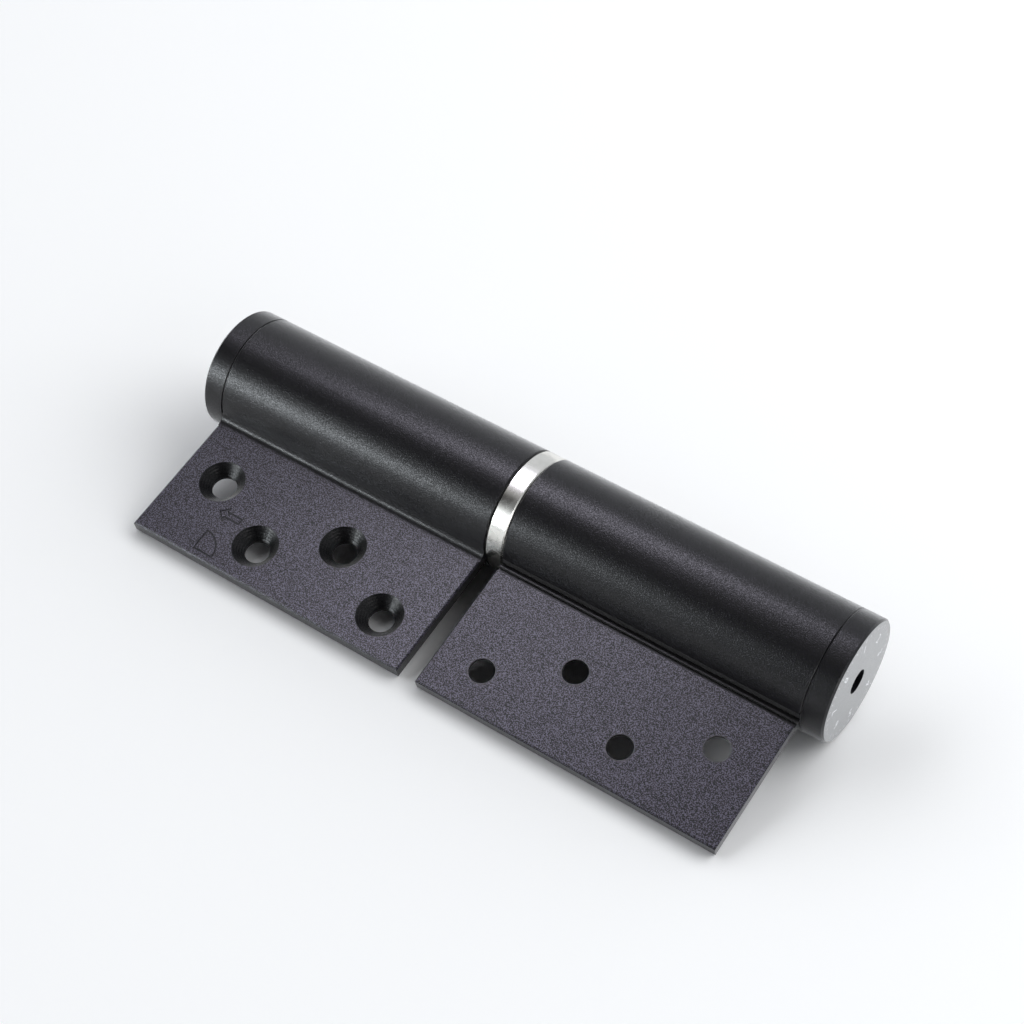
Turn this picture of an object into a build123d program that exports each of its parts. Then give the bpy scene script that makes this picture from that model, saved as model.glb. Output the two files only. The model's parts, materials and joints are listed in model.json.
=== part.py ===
from build123d import *
import os
from math import asin, atan2, ceil, cos, degrees, hypot, pi, radians, sin, sqrt

os.makedirs("parts", exist_ok=True)

# A self-closing door hinge with two barrels, lying on a table as it is stored.
# The pin runs along X. The door half is at low X, the frame half at high X, and both
# leaves reach towards -Y and rest on the table by their outer edge.
# Stations are distances along the pin from the outer face of the door end cap.

# Barrels and leaves
barrel_radius = 16.0
barrel_bore = 12.5
leaf_length = 82.4
leaf_reach = 53.0
leaf_thickness = 3.5
screw_face = 0.6
edge_break = 0.4
barrel_chamfer = 0.25
rim_from = 10.0
rim_to = 344.0
root_fillet = 2.2
keyway_width = 4.0
keyway_depth = 1.5
key_sink = 1.2
key_clearance = 0.1

# Corner relief beside the barrel, on the face that lies against the wood
relief_width = 1.2
relief_depth = 1.2
relief_rib = 0.35
relief_rib_drop = 0.3
relief_wall = 15.5
relief_height = 1.1
relief_end = relief_wall + 2 * relief_width + relief_rib

# Wood screw holes, two staggered rows
hole_radius = 3.25
sink_radius = 6.0
sink_angle = 90
hole_count = 4
hole_pitch = 19.3
hole_margin = 12.4
near_row = 31.8
far_row = 42.75

# Marks cut into the door leaf's screw face
mark_depth = 0.15
mark_line = 0.5
arrow_length = 7.0
arrow_head = 4.8
arrow_shaft = 2.0
arrow_station = 26.6
arrow_row = 39.1
swing_radius = 6.2
swing_station = 24.0
swing_row = 51.2

# End caps and the ring between the barrels
cap_length = 6.1
cap_chamfer = 0.5
cap_plug_length = 5.9
plug_clearance = 0.05
bearing_gap = 5.4
ring_width = 4.9
ring_seat_gap = 0.1
ring_wall = 1.9
ring_chamfer = 0.5
key_hole_radius = 3.2

# Thrust bearing under the ring
ball_diameter = 2.0
ball_count = 24
race_outer = 14.0
race_inner = 10.8
cage_thickness = 1.0
cage_margin = 0.18
pocket_clearance = 0.05
race_clearance = 0.04

# Spindle, fixed in the door barrel and reaching into the frame barrel
spindle_radius = 5.0
spindle_flange_length = 8.0
running_clearance = 0.05
lead = 30.0
groove_radius = 1.65
groove_overrun = 2.5
pin_radius = 1.5
pin_sink = 0.1
open_angle = 180.0

# Cylinder head with its bearing neck
neck_radius = 10.5
neck_length = 15.4
bush_length = 10.0
head_length = 10.0
head_spigot = 4.0
seal_length = 3.5
seal_wall = 0.8
seal_lip = 0.4
seal_clearance = 0.03
retainer_washer = 1.0
retainer_gap = 1.6
circlip_width = 1.1
circlip_depth = 0.6
circlip_proud = 1.6
circlip_opening = 4.0

# Hydraulic cylinder and its end plug
cylinder_bore = 10.0
end_flange = 4.0
end_spigot = 7.0
o_ring_section = 1.5
o_ring_groove = 1.9
o_ring_width = 1.8
bypass_width = 2.0
bypass_depth = 0.8
port_radius = 0.7
port_from_face = 2.5
plug_port_offset = 4.0
plug_groove_offset = 1.9
metering_radius = 1.0
metering_length = 2.0
needle_chamber = 2.0
needle_tip = 1.1
needle_flat = 0.3
stem_radius = 1.6
thread_radius = 3.0
thread_length = 3.5
screw_bore = 2.6
screw_land = 0.5
screw_sink = 0.4
hex_key = 3.0
hex_depth = 2.4
cylinder_key_lead = 6.0
cylinder_key_length = 24.0

# Piston and its check valve
piston_clearance = 0.1
pin_from_face = 3.0
tail_past_pin = 2.5
cup_end_gap = 1.3
end_gap = 0.8
valve_block = 9.0
valve_passage = 1.3
valve_pocket = 2.4
valve_seat_length = 2.0
valve_ball_radius = 2.0
valve_spring_wire = 0.4
valve_spring_radius = 1.3
valve_spring_turns = 2.5
clip_thickness = 0.6
clip_inset = 0.5
clip_hole = 0.8
clip_seat = 0.4
piston_seal_width = 2.0
piston_seal_depth = 1.3
slot_clearance = 0.2
slot_depth = 1.4

# Closing spring
spring_wire = 2.6
spring_radius = 7.6
spring_turns = 15.0
spring_bend = 3.0
spring_leg = 5.0
leg_clearance = 0.2

# Stations along the pin
door_start = cap_length
door_end = door_start + leaf_length
frame_start = door_end + bearing_gap
frame_end = frame_start + leaf_length
overall_length = frame_end + cap_length
cap_plug_end = frame_end - cap_plug_length
plug_flange_start = cap_plug_end - end_flange
plug_face = plug_flange_start - end_spigot
tube_start = frame_start + head_length
tube_end = plug_flange_start
spigot_end = tube_start + head_spigot

# Rest pose: each leaf leans until its outer edge touches the table
plain_face = leaf_thickness - screw_face
tip = leaf_reach - edge_break


def lean(depth):
    """Slope of a leaf, in degrees, whose lower face is this deep below the pin axis."""
    return degrees(asin(barrel_radius / hypot(tip, depth)) - atan2(depth, tip))


def overhang(tilt, height):
    """How far a leaf reaches from the pin axis along -Y, with its upper face this high."""
    return leaf_reach * cos(radians(tilt)) + (height - edge_break) * sin(radians(tilt))


door_tilt = lean(plain_face)
frame_tilt = lean(screw_face)
leaf_lap = frame_tilt - door_tilt
swing = open_angle + leaf_lap
front = max(overhang(door_tilt, screw_face), overhang(frame_tilt, plain_face))
pin_y = (front - barrel_radius) / 2
pin_z = barrel_radius
start_x = -overall_length / 2

pin_axis = Axis((0, pin_y, pin_z), (1, 0, 0))
axial_plane = Plane(origin=(start_x, pin_y, pin_z), x_dir=(1, 0, 0), z_dir=(0, -1, 0))


def on_pin(station):
    """The point of the pin axis at a station."""
    return (start_x + station, pin_y, pin_z)


def across(station, facing=1):
    """A plane square to the pin, with its X towards -Y, facing +X or -X."""
    return Plane(origin=on_pin(station), x_dir=(0, -1, 0), z_dir=(facing, 0, 0))


def outward(tilt):
    """Direction from the pin axis to a leaf's outer edge."""
    return (0, -cos(radians(tilt)), -sin(radians(tilt)))


def upward(tilt):
    """Normal of a leaf's upper face."""
    return (0, -sin(radians(tilt)), cos(radians(tilt)))


def band(start, end, inner, outer, mode=Mode.ADD):
    """A rectangle of a turned piece's section, between two stations and two radii."""
    with Locations(((start + end) / 2, (inner + outer) / 2)):
        Rectangle(end - start, outer - inner, mode=mode)


def o_ring(station, inner, outer, width):
    """A round ring squeezed between a groove and a bore, at a station."""
    with BuildPart() as ring:
        with BuildSketch(axial_plane):
            with Locations((station, (inner + outer) / 2)):
                Ellipse(width / 2, (outer - inner) / 2)
        revolve(axis=pin_axis)
    return ring.part


def finish(piece, name):
    """Give a piece its name and write it."""
    piece.label = name
    export_step(piece, f"parts/{name}.step")


# Leaf and barrel, one extrusion used for both halves and turned over for the frame.
# In its section, X points out along the leaf and Y to the face the screws enter.
def leaf_section():
    middle = screw_face - leaf_thickness / 2
    Circle(barrel_radius)
    with Locations((leaf_reach / 2, middle)):
        Rectangle(leaf_reach, leaf_thickness)
    corners = vertices().group_by(Axis.X)[-1]
    chamfer(corners, length=edge_break)
    root_x = sqrt(barrel_radius**2 - screw_face**2)
    root = vertices().sort_by_distance((root_x, screw_face))[0]
    fillet(root, radius=root_fillet)
    groove_floor = relief_depth - plain_face
    groove_top = -plain_face - relief_height
    with Locations((relief_wall, groove_floor)):
        Rectangle(relief_width, groove_floor - groove_top, align=(Align.MIN, Align.MAX),
                  mode=Mode.SUBTRACT)
    rib_start = relief_wall + relief_width
    with Locations((rib_start, relief_rib_drop - plain_face)):
        Rectangle(relief_rib, relief_depth, align=(Align.MIN, Align.MAX), mode=Mode.SUBTRACT)
    with Locations((rib_start + relief_rib, groove_floor)):
        Rectangle(relief_width, relief_depth, align=(Align.MIN, Align.MAX), mode=Mode.SUBTRACT)
    Circle(barrel_bore, mode=Mode.SUBTRACT)
    with Locations((-barrel_bore, 0)):
        Rectangle(2 * keyway_depth, keyway_width, mode=Mode.SUBTRACT)


def leaf_blank(ring_end, tilt, facing):
    """A leaf with its barrel and holes, from the end beside the ring; facing is +1 along X."""
    side = tuple(-facing * part for part in upward(tilt))
    section_plane = Plane(origin=on_pin(ring_end), x_dir=outward(tilt), z_dir=(facing, 0, 0))
    hole_plane = Plane(origin=on_pin(ring_end), x_dir=outward(tilt), z_dir=side)
    with BuildPart() as blank:
        with BuildSketch(section_plane):
            leaf_section()
        extrude(amount=leaf_length)
        edge_plane = Plane(origin=on_pin(ring_end), x_dir=(facing, 0, 0), z_dir=outward(tilt))
        with BuildSketch(edge_plane.offset(relief_end)):
            for corner_x in (0, leaf_length):
                for corner_y in (-screw_face, plain_face):
                    with Locations((corner_x, corner_y)):
                        Rectangle(edge_break * sqrt(2), edge_break * sqrt(2), rotation=45)
        extrude(amount=leaf_reach, mode=Mode.SUBTRACT)
        turned = Plane(section_plane.location * Rotation(0, 0, rim_from))
        rim_plane = Plane(origin=on_pin(ring_end), x_dir=turned.z_dir, z_dir=turned.y_dir)
        with BuildSketch(rim_plane):
            for rim, way in ((0, 1), (leaf_length, -1)):
                with BuildLine():
                    Polyline(
                        (rim, barrel_radius - barrel_chamfer), (rim, barrel_radius),
                        (rim + way * barrel_chamfer, barrel_radius), close=True,
                    )
                make_face()
        revolve(axis=Axis(on_pin(ring_end), (facing, 0, 0)), revolution_arc=rim_to - rim_from,
                mode=Mode.SUBTRACT)
        with Locations(hole_plane.offset(screw_face)):
            with Locations(*hole_points):
                CounterSinkHole(hole_radius, sink_radius, counter_sink_angle=sink_angle)
    return blank


hole_points = [
    (near_row if index % 2 else far_row, -(hole_margin + index * hole_pitch))
    for index in range(hole_count)
]

frame_leaf = leaf_blank(frame_start, frame_tilt, 1)
finish(frame_leaf.part, "frame_leaf")

# The door leaf also carries two marks: an arrow to its upper end and a swing sign.
mark_plane = Plane(
    origin=on_pin(0), x_dir=(1, 0, 0), z_dir=upward(door_tilt)
).offset(screw_face)
arrow_tip = -arrow_length / 2
arrow_neck = arrow_tip + arrow_head / 2
door_blank = leaf_blank(door_end, door_tilt, -1)
with BuildPart() as door_leaf:
    add(door_blank.part)
    with BuildSketch(mark_plane):
        with Locations((arrow_station, -arrow_row)):
            Polygon(
                (arrow_tip, 0), (arrow_neck, arrow_head / 2), (arrow_neck, arrow_shaft / 2),
                (-arrow_tip, arrow_shaft / 2), (-arrow_tip, -arrow_shaft / 2),
                (arrow_neck, -arrow_shaft / 2), (arrow_neck, -arrow_head / 2), align=None,
            )
        offset(amount=-mark_line, mode=Mode.SUBTRACT)
    with BuildSketch(mark_plane):
        with BuildLine():
            sweep_arc = CenterArc((swing_station, -swing_row), swing_radius, 0, 90)
            Polyline(sweep_arc @ 1, (swing_station, -swing_row), sweep_arc @ 0)
        make_face()
        offset(amount=-mark_line, mode=Mode.SUBTRACT)
    extrude(amount=-mark_depth, mode=Mode.SUBTRACT)
finish(door_leaf.part, "door_leaf")


# End caps, screwed into the barrels; the frame cap has the hole for the key.
def rims(radius):
    """Round edges of this radius on the piece being built, from low X to high X."""
    ring_edges = edges().filter_by(GeomType.CIRCLE)
    return ring_edges.filter_by(lambda e: abs(e.radius - radius) < 0.01).sort_by(Axis.X)


plug_radius = barrel_bore - plug_clearance

with BuildPart() as door_end_cap:
    with BuildSketch(axial_plane):
        band(0, cap_length, 0, barrel_radius)
        band(cap_length, cap_length + cap_plug_length, 0, plug_radius)
    revolve(axis=pin_axis)
    chamfer(rims(barrel_radius)[0], length=cap_chamfer)
    chamfer(rims(barrel_radius)[-1], length=barrel_chamfer)
finish(door_end_cap.part, "door_end_cap")

with BuildPart() as frame_end_cap:
    with BuildSketch(axial_plane):
        band(frame_end, overall_length, key_hole_radius, barrel_radius)
        band(cap_plug_end, frame_end, key_hole_radius, plug_radius)
    revolve(axis=pin_axis)
    chamfer(rims(barrel_radius)[-1], length=cap_chamfer)
    chamfer(rims(barrel_radius)[0], length=barrel_chamfer)
finish(frame_end_cap.part, "frame_end_cap")

# Polished ring that covers the bearing, seated beside the frame barrel.
ring_end = frame_start - ring_seat_gap
with BuildPart() as centre_ring:
    with BuildSketch(axial_plane):
        band(ring_end - ring_width, ring_end, barrel_radius - ring_wall, barrel_radius)
    revolve(axis=pin_axis)
    chamfer(rims(barrel_radius)[-1], length=ring_chamfer)
    chamfer(rims(barrel_radius)[0], length=barrel_chamfer)
finish(centre_ring.part, "centre_ring")

# Thrust bearing: a race on each half and the caged balls between them.
race_thickness = (bearing_gap - ball_diameter) / 2 - race_clearance
ball_station = (door_end + frame_start) / 2
ball_circle = (race_inner + race_outer) / 2

with BuildPart() as upper_race:
    with BuildSketch(axial_plane):
        band(door_end, door_end + race_thickness, race_inner, race_outer)
    revolve(axis=pin_axis)
finish(upper_race.part, "upper_race")

with BuildPart() as lower_race:
    with BuildSketch(axial_plane):
        band(frame_start - race_thickness, frame_start, race_inner, race_outer)
    revolve(axis=pin_axis)
finish(lower_race.part, "lower_race")

with BuildPart() as bearing_cage:
    with BuildSketch(across(ball_station - cage_thickness / 2)):
        Circle(race_outer - cage_margin)
        Circle(race_inner + cage_margin, mode=Mode.SUBTRACT)
        with PolarLocations(ball_circle, ball_count):
            Circle(ball_diameter / 2 + pocket_clearance, mode=Mode.SUBTRACT)
    extrude(amount=cage_thickness)
finish(bearing_cage.part, "bearing_cage")

with BuildPart() as bearing_balls:
    with Locations(across(ball_station)):
        with PolarLocations(ball_circle, ball_count):
            Sphere(ball_diameter / 2)
finish(bearing_balls.part, "bearing_balls")


# Springs and helical grooves follow a helix round the pin, drawn as smooth pairs of arcs.
def helix_frame(start, pitch, radius, first_turn, turn):
    """Point and direction of a right-hand helix; turns are counted from +Y towards +Z."""
    angle = 2 * pi * (first_turn + turn)
    point = Vector(
        start_x + start + pitch * turn, pin_y + radius * cos(angle), pin_z + radius * sin(angle)
    )
    direction = Vector(pitch / (2 * pi), -radius * sin(angle), radius * cos(angle))
    return point, direction.normalized()


def arc_pair(point, direction, end, end_direction):
    """Two arcs that leave one helix point and reach the next without a corner."""
    span = end - point
    both = direction + end_direction
    spread = 2 * (1 - direction.dot(end_direction))
    reach = (sqrt(span.dot(both) ** 2 + spread * span.dot(span)) - span.dot(both)) / spread
    knee = point + direction * reach
    far_knee = end - end_direction * reach
    middle = (knee + far_knee) * 0.5
    TangentArc(point, middle, tangent=direction)
    TangentArc(middle, end, tangent=(far_knee - knee).normalized())


def helix_arcs(start, pitch, radius, first_turn, turns, steps_per_turn=4):
    """A helix as arcs, inside a BuildLine block."""
    steps = ceil(turns * steps_per_turn)
    for index in range(steps):
        here = helix_frame(start, pitch, radius, first_turn, turns * index / steps)
        there = helix_frame(start, pitch, radius, first_turn, turns * (index + 1) / steps)
        arc_pair(*here, *there)


def leg_bend(point, direction):
    """Offset from a coil's end to the start of its straight leg, and the leg's direction."""
    along = Vector(1, 0, 0)
    turn_angle = radians(direction.get_angle(along))
    inward = (along - direction * direction.dot(along)).normalized()
    return (direction * sin(turn_angle) + inward * (1 - cos(turn_angle))) * spring_bend


# Piston stroke: the groove's lead turns the door's swing into a slide.
stroke = lead * swing / 360
cylinder_key_start = tube_start - cylinder_key_lead
piston_end = plug_face - end_gap
cup_depth = pin_from_face + tail_past_pin + stroke + cup_end_gap
piston_start = piston_end - valve_block - cup_depth
pin_rest = piston_start + pin_from_face
tail_end = pin_rest + tail_past_pin
drive_turn = 0.25

# Spindle flange and neck faces, between which the closing spring stands
flange_start = cap_length + cap_plug_length
flange_face = flange_start + spindle_flange_length
neck_face = frame_start - neck_length
leg_room = spring_bend + leg_clearance
coil_start = flange_face + leg_room
coil_length = neck_face - leg_room - coil_start
coil_pitch = coil_length / spring_turns
coil_first_turn = 0.5
first_point, first_direction = helix_frame(
    coil_start, coil_pitch, spring_radius, coil_first_turn, 0
)
last_point, last_direction = helix_frame(
    coil_start, coil_pitch, spring_radius, coil_first_turn, spring_turns
)
first_leg = first_point - leg_bend(first_point, first_direction)
last_leg = last_point + leg_bend(last_point, last_direction)
along_pin = Vector(1, 0, 0)
print("closing spring: gap between turns", round(coil_pitch - spring_wire, 2), "mm")


def leg_hole(leg, depth, facing):
    """A round hole for a spring leg, into a face whose normal points along facing * X."""
    face_x = start_x + (flange_face if facing > 0 else neck_face)
    leg_plane = Plane(origin=(face_x, leg.Y, leg.Z), x_dir=(0, -1, 0), z_dir=(facing, 0, 0))
    with BuildSketch(leg_plane) as leg_circle:
        Circle(spring_wire / 2 + leg_clearance)
    extrude(leg_circle.sketch, amount=-depth, mode=Mode.SUBTRACT)


def bar(start, length, tilt, low, high, width, mode=Mode.ADD):
    """A straight bar along the pin; low and high are distances from it towards the leaf."""
    bar_plane = Plane(origin=on_pin(start), x_dir=outward(tilt), z_dir=(1, 0, 0))
    with BuildSketch(bar_plane) as bar_section:
        with Locations(((low + high) / 2, 0)):
            Rectangle(high - low, width)
    extrude(bar_section.sketch, amount=length, mode=mode)


def key_bar(start, length, tilt, seat):
    """A key, or its seat cut, on the side of the barrel away from the leaf."""
    slack = 0 if seat else key_clearance
    bar(start, length, tilt, slack - barrel_bore - keyway_depth, key_sink - barrel_bore,
        keyway_width - slack, mode=Mode.SUBTRACT if seat else Mode.ADD)


# Closing spring, with a straight leg at each end.
with BuildPart() as closing_spring:
    with BuildLine() as spring_path:
        Line(first_leg - along_pin * spring_leg, first_leg)
        TangentArc(first_leg, first_point, tangent=along_pin)
        helix_arcs(coil_start, coil_pitch, spring_radius, coil_first_turn, spring_turns)
        TangentArc(last_point, last_leg, tangent=last_direction)
        Line(last_leg, last_leg + along_pin * spring_leg)
    with BuildSketch(Plane(origin=spring_path.line @ 0, z_dir=along_pin)):
        Circle(spring_wire / 2)
    sweep(path=spring_path.wires()[0])
finish(closing_spring.part, "closing_spring")

# Spindle: flange in the door barrel, shaft through the neck, two helical grooves at the tail.
clip_start = spigot_end + 2 * running_clearance + retainer_washer
groove_centre = spindle_radius - pin_sink
with BuildPart() as groove_cutter:
    for side in (0, 0.5):
        groove_first = pin_rest - stroke - groove_overrun
        groove_turns = (tail_end + groove_overrun - groove_first) / lead
        groove_turn = drive_turn + side + (groove_first - pin_rest) / lead
        with BuildLine() as groove_path:
            helix_arcs(groove_first, lead, groove_centre, groove_turn, groove_turns, 8)
        with BuildSketch(Plane(origin=groove_path.line @ 0, z_dir=groove_path.line % 0)):
            Circle(groove_radius)
        sweep(path=groove_path.wires()[0])

with BuildPart() as spindle:
    with BuildSketch(axial_plane):
        band(flange_start, flange_face, 0, plug_radius)
        band(flange_face, tail_end, 0, spindle_radius)
        band(clip_start, clip_start + circlip_width, spindle_radius - circlip_depth,
             spindle_radius, mode=Mode.SUBTRACT)
    revolve(axis=pin_axis)
    leg_hole(first_leg, spring_leg + leg_clearance, 1)
    key_bar(flange_start, spindle_flange_length, door_tilt, True)
    add(groove_cutter.part, mode=Mode.SUBTRACT)
finish(spindle.part, "spindle")

with BuildPart() as spindle_key:
    key_bar(flange_start, spindle_flange_length, door_tilt, False)
finish(spindle_key.part, "spindle_key")

# Bush in the door barrel, turning on the neck.
with BuildPart() as door_bush:
    with BuildSketch(axial_plane):
        band(door_end - bush_length, door_end, neck_radius + running_clearance, plug_radius)
    revolve(axis=pin_axis)
finish(door_bush.part, "door_bush")

# Cylinder head: the neck the door turns on, and the seals that close the oil chamber.
shaft_bore = spindle_radius + running_clearance
seal_start = spigot_end - seal_length
head_groove = (tube_start + spigot_end) / 2
spigot_radius = cylinder_bore - plug_clearance
groove_bottom = cylinder_bore - o_ring_section
seal_radius = groove_bottom - seal_wall
with BuildPart() as cylinder_head:
    with BuildSketch(axial_plane):
        band(neck_face, frame_start, shaft_bore, neck_radius)
        band(frame_start, tube_start, shaft_bore, plug_radius)
        band(tube_start, spigot_end, shaft_bore, spigot_radius)
        band(seal_start, spigot_end, shaft_bore, seal_radius, mode=Mode.SUBTRACT)
        band(head_groove - o_ring_groove / 2, head_groove + o_ring_groove / 2,
             groove_bottom, cylinder_bore, mode=Mode.SUBTRACT)
    revolve(axis=pin_axis)
    leg_hole(last_leg, spring_leg + leg_clearance, -1)
    key_bar(cylinder_key_start, cylinder_key_length, frame_tilt, True)
finish(cylinder_head.part, "cylinder_head")
finish(o_ring(head_groove, groove_bottom, cylinder_bore, o_ring_width), "head_o_ring")

with BuildPart() as shaft_seal:
    with BuildSketch(axial_plane):
        band(seal_start, spigot_end - running_clearance, spindle_radius + seal_clearance,
             seal_radius)
        band(spigot_end - seal_length / 2, spigot_end, spindle_radius + seal_lip,
             seal_radius - seal_lip, mode=Mode.SUBTRACT)
    revolve(axis=pin_axis)
finish(shaft_seal.part, "shaft_seal")

# Washer and circlip that stop the spindle from pulling out of the head.
with BuildPart() as thrust_washer:
    with BuildSketch(axial_plane):
        band(spigot_end + running_clearance, spigot_end + running_clearance + retainer_washer,
             shaft_bore, cylinder_bore - retainer_gap)
    revolve(axis=pin_axis)
finish(thrust_washer.part, "thrust_washer")

with BuildPart() as circlip:
    with BuildSketch(across(clip_start + running_clearance)):
        Circle(spindle_radius + circlip_proud)
        Circle(spindle_radius - circlip_depth + running_clearance, mode=Mode.SUBTRACT)
        with Locations((spindle_radius, 0)):
            Rectangle(2 * circlip_proud + spindle_radius, circlip_opening, mode=Mode.SUBTRACT)
    extrude(amount=circlip_width - 2 * running_clearance)
finish(circlip.part, "circlip")

# Hydraulic cylinder: slots guide the drive pins, an outer channel carries the oil round.
slot_reach = pin_radius + slot_clearance
slot_start = pin_rest - stroke - slot_reach - slot_clearance
slot_end = pin_rest + slot_reach + slot_clearance
head_port = spigot_end + port_from_face
plug_port = plug_face + plug_port_offset
with BuildPart() as hydraulic_cylinder:
    with BuildSketch(axial_plane):
        band(tube_start, tube_end, cylinder_bore, plug_radius)
    revolve(axis=pin_axis)
    with BuildSketch(across(slot_start)):
        Rectangle(2 * slot_reach, 2 * (cylinder_bore + slot_depth))
    extrude(amount=slot_end - slot_start, mode=Mode.SUBTRACT)
    key_bar(cylinder_key_start, cylinder_key_length, frame_tilt, True)
    bar(head_port - bypass_width / 2, plug_port - head_port + bypass_width, frame_tilt,
        plug_radius - bypass_depth, barrel_bore, bypass_width, mode=Mode.SUBTRACT)
    for port in (head_port, plug_port):
        with BuildSketch(Plane(origin=on_pin(port), x_dir=(1, 0, 0), z_dir=outward(frame_tilt))):
            Circle(port_radius)
        extrude(amount=barrel_bore, mode=Mode.SUBTRACT)
finish(hydraulic_cylinder.part, "hydraulic_cylinder")

with BuildPart() as cylinder_key:
    key_bar(cylinder_key_start, cylinder_key_length, frame_tilt, False)
finish(cylinder_key.part, "cylinder_key")

# End plug with the metering hole, and the screw that sets the closing speed.
needle_start = plug_face + metering_length
needle_end = plug_port + needle_chamber / 2
thread_start = cap_plug_end - thread_length
plug_groove = plug_face + plug_groove_offset
with BuildPart() as end_plug:
    with BuildSketch(axial_plane):
        band(plug_face, tube_end, 0, spigot_radius)
        band(tube_end, cap_plug_end, 0, plug_radius)
        band(plug_face, needle_start, 0, metering_radius, mode=Mode.SUBTRACT)
        band(needle_start, needle_end, 0, needle_chamber, mode=Mode.SUBTRACT)
        band(needle_end, thread_start, 0, screw_bore, mode=Mode.SUBTRACT)
        band(thread_start, cap_plug_end, 0, thread_radius, mode=Mode.SUBTRACT)
        band(plug_groove - o_ring_groove / 2, plug_groove + o_ring_groove / 2,
             groove_bottom, cylinder_bore, mode=Mode.SUBTRACT)
        band(plug_port - port_radius, plug_port + port_radius,
             spigot_radius - bypass_depth, cylinder_bore, mode=Mode.SUBTRACT)
    revolve(axis=pin_axis)
    with BuildSketch(Plane(origin=on_pin(plug_port), x_dir=(1, 0, 0), z_dir=outward(frame_tilt))):
        Circle(port_radius)
    extrude(amount=cylinder_bore, mode=Mode.SUBTRACT)
finish(end_plug.part, "end_plug")
finish(o_ring(plug_groove, groove_bottom, cylinder_bore, o_ring_width), "end_plug_o_ring")

stem_end = needle_end + screw_land
land_end = thread_start - screw_land
screw_end = cap_plug_end - screw_sink
with BuildPart() as speed_screw:
    with BuildSketch(axial_plane):
        with BuildLine():
            Polyline(
                (needle_start - needle_tip, 0), (needle_start - needle_tip, needle_flat),
                (needle_start, metering_radius - seal_clearance),
                (needle_start + needle_tip, stem_radius), (needle_end, stem_radius),
                (needle_end, 0), close=True,
            )
        make_face()
        band(needle_end, thread_start, 0, screw_bore - running_clearance)
        band(thread_start, screw_end, 0, thread_radius - running_clearance)
        band(stem_end, land_end, stem_radius, screw_bore, mode=Mode.SUBTRACT)
    revolve(axis=pin_axis)
    with BuildSketch(across(screw_end)):
        RegularPolygon(hex_key / 2, 6, major_radius=False)
    extrude(amount=-hex_depth, mode=Mode.SUBTRACT)
finish(speed_screw.part, "speed_screw")
finish(
    o_ring((stem_end + land_end) / 2, stem_radius, screw_bore - seal_clearance,
           land_end - stem_end - running_clearance),
    "speed_screw_o_ring",
)

# Piston: a cup over the spindle's tail, with the check valve in its solid end.
piston_radius = cylinder_bore - piston_clearance
cup_end = piston_start + cup_depth
valve_seat = cup_end + valve_seat_length
clip_face = piston_end - clip_inset - clip_thickness
seal_centre = cup_end + valve_block / 2
seal_bottom = piston_radius - piston_seal_depth
with BuildPart() as piston:
    with BuildSketch(axial_plane):
        band(piston_start, piston_end, 0, piston_radius)
        band(piston_start, cup_end, 0, spindle_radius + piston_clearance, mode=Mode.SUBTRACT)
        band(cup_end, valve_seat, 0, valve_passage, mode=Mode.SUBTRACT)
        band(valve_seat, piston_end, 0, valve_pocket, mode=Mode.SUBTRACT)
        band(clip_face, clip_face + clip_thickness, 0, valve_pocket + clip_seat,
             mode=Mode.SUBTRACT)
        band(seal_centre - piston_seal_width / 2, seal_centre + piston_seal_width / 2,
             seal_bottom, cylinder_bore, mode=Mode.SUBTRACT)
    revolve(axis=pin_axis)
    with BuildSketch(Plane(origin=on_pin(pin_rest), x_dir=(1, 0, 0), z_dir=(0, 0, 1))):
        Circle(pin_radius)
    extrude(amount=cylinder_bore, both=True, mode=Mode.SUBTRACT)
finish(piston.part, "piston")

with BuildPart() as piston_seal:
    with BuildSketch(axial_plane):
        band(seal_centre - piston_seal_width / 2, seal_centre + piston_seal_width / 2,
             seal_bottom, cylinder_bore - seal_clearance)
    revolve(axis=pin_axis)
finish(piston_seal.part, "piston_seal")

# Two pins through the piston: round tips in the helical grooves, outer ends in the slots.
pin_length = cylinder_bore + slot_depth - slot_clearance - groove_centre
with BuildPart() as drive_pins:
    for way in (1, -1):
        pin_plane = Plane(
            origin=(start_x + pin_rest, pin_y, pin_z + way * groove_centre), z_dir=(0, 0, way)
        )
        with BuildSketch(pin_plane):
            Circle(pin_radius)
        extrude(amount=pin_length)
        with Locations(pin_plane):
            Sphere(pin_radius)
finish(drive_pins.part, "drive_pins")

# Check valve: a ball on its seat, a light spring and the clip that holds them.
ball_seat = sqrt(valve_ball_radius**2 - valve_passage**2)
valve_ball_station = valve_seat + ball_seat + running_clearance
with BuildPart() as valve_ball:
    with Locations(on_pin(valve_ball_station)):
        Sphere(valve_ball_radius)
finish(valve_ball.part, "valve_ball")

ball_crown = sqrt(valve_ball_radius**2 - valve_spring_radius**2)
coil_gap = valve_spring_wire / 2 + running_clearance
valve_spring_start = valve_ball_station + ball_crown + coil_gap + running_clearance
valve_spring_pitch = (clip_face - coil_gap - valve_spring_start) / valve_spring_turns
with BuildPart() as valve_spring:
    with BuildLine() as valve_spring_path:
        helix_arcs(valve_spring_start, valve_spring_pitch, valve_spring_radius, 0,
                   valve_spring_turns)
    with BuildSketch(Plane(origin=valve_spring_path.line @ 0, z_dir=valve_spring_path.line % 0)):
        Circle(valve_spring_wire / 2)
    sweep(path=valve_spring_path.wires()[0])
finish(valve_spring.part, "valve_spring")

with BuildPart() as valve_clip:
    with BuildSketch(axial_plane):
        band(clip_face, clip_face + clip_thickness, clip_hole, valve_pocket + clip_seat)
    revolve(axis=pin_axis)
finish(valve_clip.part, "valve_clip")

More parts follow.
